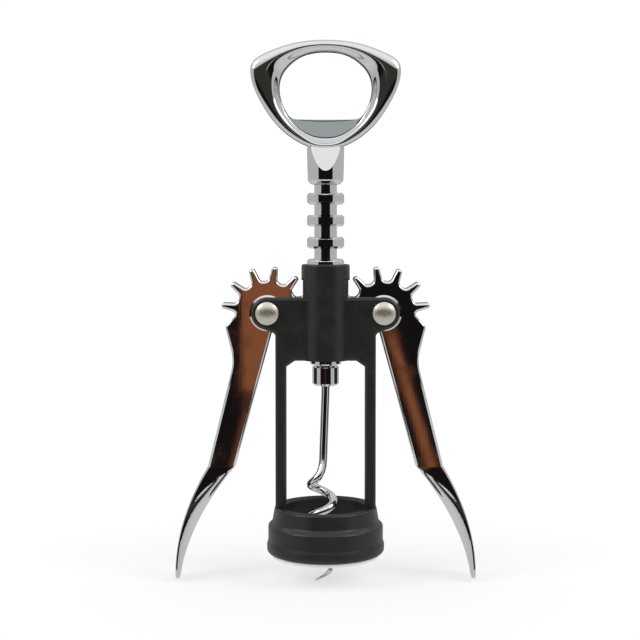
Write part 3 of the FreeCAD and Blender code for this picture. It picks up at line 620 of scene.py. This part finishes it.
def between(source, low, high):
    # Smooth rise from 0 at low to 1 at high
    node = addNode(
        tree, "ShaderNodeMapRange", {"From Min": low, "From Max": high}, {"Value": source},
        interpolation_type="SMOOTHSTEP")
    return node.outputs["Result"]


toDegrees = 180 / math.pi
depth = measure("ABSOLUTE", split.outputs["Y"])
azimuth = measure("MULTIPLY", measure("ARCTAN2", split.outputs["X"], depth), _1=toDegrees)
sideways = measure("ABSOLUTE", azimuth)
rise = measure("MULTIPLY", measure("ARCSINE", split.outputs["Z"]), _1=toDegrees)


def blendColour(first, second, factor):
    node = addNode(tree, "ShaderNodeMix", data_type="RGBA")
    tree.links.new(factor, node.inputs[0])
    for socket, colour in ((6, first), (7, second)):
        if isinstance(colour, str):
            node.inputs[socket].default_value = linear(colour)
        else:
            tree.links.new(colour, node.inputs[socket])
    return node.outputs[2]


def inside(source, low, high):
    # 1 between low and high, with soft edges
    edge = studio["edge"]
    rising, falling = between(source, low - edge, low + edge), between(source, high + edge, high - edge)
    return measure("MULTIPLY", rising, falling)


def leaningStrip(sign, start, slope, half):
    # Upright strip on one side of the middle that leans outwards as it goes down
    middle = measure("MULTIPLY_ADD", rise, _1=-sign * slope, _2=sign * start)
    return inside(measure("SUBTRACT", azimuth, middle), -half, half)


walls = blendColour(studio["lowWall"], studio["wall"], between(rise, studio["lowFrom"], studio["lowTo"]))
ceilingShare = measure(
    "MULTIPLY_ADD", between(split.outputs["Y"], studio["rearFrom"], 0.0), _1=1 - studio["rearCeiling"],
    _2=studio["rearCeiling"])
ceiling = measure("MULTIPLY", between(rise, studio["ceilingFrom"], studio["ceilingTo"]), ceilingShare)
walls = blendColour(walls, studio["ceiling"], ceiling)
rightStrip = measure(
    "MULTIPLY", leaningStrip(1, studio["rightStart"], studio["rightSlope"], studio["rightHalf"]),
    inside(rise, studio["stripBottom"], studio["rightTop"]))
leftStrip = measure(
    "MULTIPLY", leaningStrip(-1, studio["leftStart"], studio["leftSlope"], studio["leftHalf"]),
    inside(rise, studio["stripBottom"], studio["patchBottom"]))
leftPatch = measure(
    "MULTIPLY", inside(azimuth, -studio["patchTo"], -studio["patchFrom"]),
    inside(rise, studio["patchBottom"], studio["patchTop"]))
leftFoot = measure(
    "MULTIPLY", inside(azimuth, -studio["footTo"], -studio["footFrom"]),
    inside(rise, studio["footBottom"], studio["stripBottom"]))
strips = measure("MAXIMUM", rightStrip, leftStrip)
wood = measure("MAXIMUM", strips, measure("MAXIMUM", leftPatch, leftFoot))
dark = blendColour(studio["dark"], studio["darkHigh"], between(rise, studio["highFrom"], studio["highTo"]))
doorway = blendColour(dark, studio["brown"], wood)
screen = measure(
    "MULTIPLY", inside(azimuth, -studio["screenHalf"], studio["screenHalf"]),
    inside(rise, studio["screenBottom"], studio["screenTop"]))
doorway = blendColour(doorway, studio["grey"], screen)
doorHalf = measure(
    "MULTIPLY_ADD", between(split.outputs["Y"], studio["turnFade"], -studio["turnFade"]),
    _1=studio["darkHalf"] - studio["rearHalf"], _2=studio["rearHalf"])
doorHeight = measure(
    "MULTIPLY", between(rise, studio["darkBottom"] - studio["bottomFade"], studio["darkBottom"]),
    between(rise, studio["darkTop"] + studio["topFade"], studio["darkTop"]))
inDoorway = measure(
    "MULTIPLY", between(measure("SUBTRACT", sideways, doorHalf), studio["sideFade"], 0.0), doorHeight)
room = blendColour(walls, doorway, inDoorway)
surround = addNode(tree, "ShaderNodeBackground", {"Strength": 1.0}, {"Color": room})
backdrop = addNode(tree, "ShaderNodeBackground", {"Color": linear("#ffffff"), "Strength": studio["backdrop"]})
seen = addNode(tree, "ShaderNodeLightPath").outputs["Is Camera Ray"]
mix = addNode(tree, "ShaderNodeMixShader", links={0: seen, 1: surround.outputs[0], 2: backdrop.outputs[0]})
tree.links.new(mix.outputs[0], output.inputs["Surface"])

# Two soft boxes, high on each side
lights = {
    "power": 3.0, "size": 0.5, "sideways": 0.9, "forward": -0.5, "height": 0.8, "tilt": 48.0, "turn": 60.0,
}
for sign in (-1, 1):
    lamp = bpy.data.lights.new("SoftBox", "AREA")
    lamp.energy = lights["power"]
    lamp.size = lights["size"]
    holder = bpy.data.objects.new("SoftBox", lamp)
    holder.location = (sign * lights["sideways"], lights["forward"], lights["height"])
    holder.rotation_euler = (math.radians(lights["tilt"]), 0, math.radians(sign * lights["turn"]))
    bpy.context.scene.collection.objects.link(holder)
bpy.context.scene.view_settings.view_transform = "Standard"
print("stage set")
